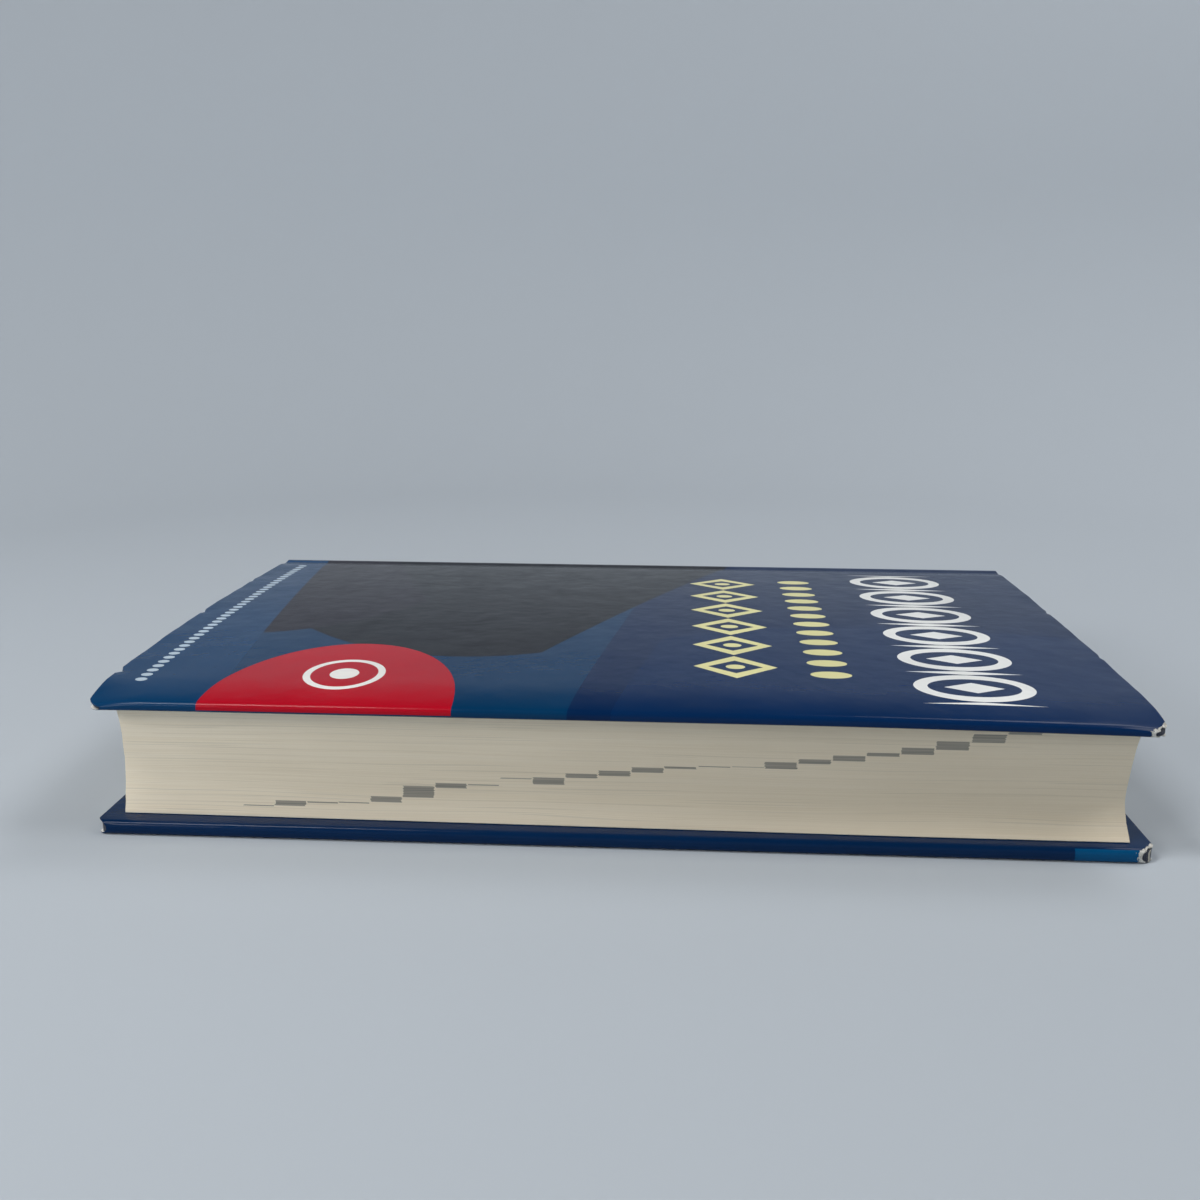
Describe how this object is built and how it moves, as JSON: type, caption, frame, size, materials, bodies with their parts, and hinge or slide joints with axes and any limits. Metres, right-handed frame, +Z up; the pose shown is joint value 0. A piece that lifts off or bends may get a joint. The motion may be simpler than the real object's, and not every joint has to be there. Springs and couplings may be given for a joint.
{
  "type": "jacketed hardback book",
  "caption": "Hardback book lying shut, with a rounded spine, stiff cloth-covered boards, a glossy paper jacket, and covers that open at the joints.",
  "frame": {"origin": "on the table under the middle of the shut book, which lies on its back cover", "axes": "+X along the spine towards the head of the pages, +Y from the fore-edge to the spine, +Z up from the table through the thickness"},
  "size_m": [0.224, 0.1486, 0.0327],
  "materials": {
    "page_paper": "matte",
    "endpaper": "matte",
    "gauze": "matte",
    "lining_paper": "matte",
    "band_thread": "satin",
    "board": "matte",
    "book_cloth": "matte",
    "jacket_paper": "gloss"
  },
  "bodies": {
    "book_block": {"text_block": "page_paper", "front_flyleaf": "endpaper", "back_flyleaf": "endpaper", "spine_mull": "gauze", "spine_lining": "lining_paper", "headband": "band_thread", "tailband": "band_thread", "spine_strip": "board", "spine_cloth": "book_cloth", "jacket_spine": "jacket_paper"},
    "front_cover": {"front_board": "board", "front_cloth": "book_cloth", "front_pastedown": "endpaper", "jacket_front": "jacket_paper"},
    "back_cover": {"back_board": "board", "back_cloth": "book_cloth", "back_pastedown": "endpaper", "jacket_back": "jacket_paper"}
  },
  "joints": [
    {"name": "front_cover_hinge", "type": "hinge", "parent": "book_block", "child": "front_cover", "pos_m": [0, 0.0675, 0.02815], "axis": [-1, 0, 0], "range_deg": [0, 180]},
    {"name": "back_cover_hinge", "type": "hinge", "parent": "book_block", "child": "back_cover", "pos_m": [0, 0.0675, 0.00315], "axis": [1, 0, 0], "range_deg": [0, 180]}
  ]
}
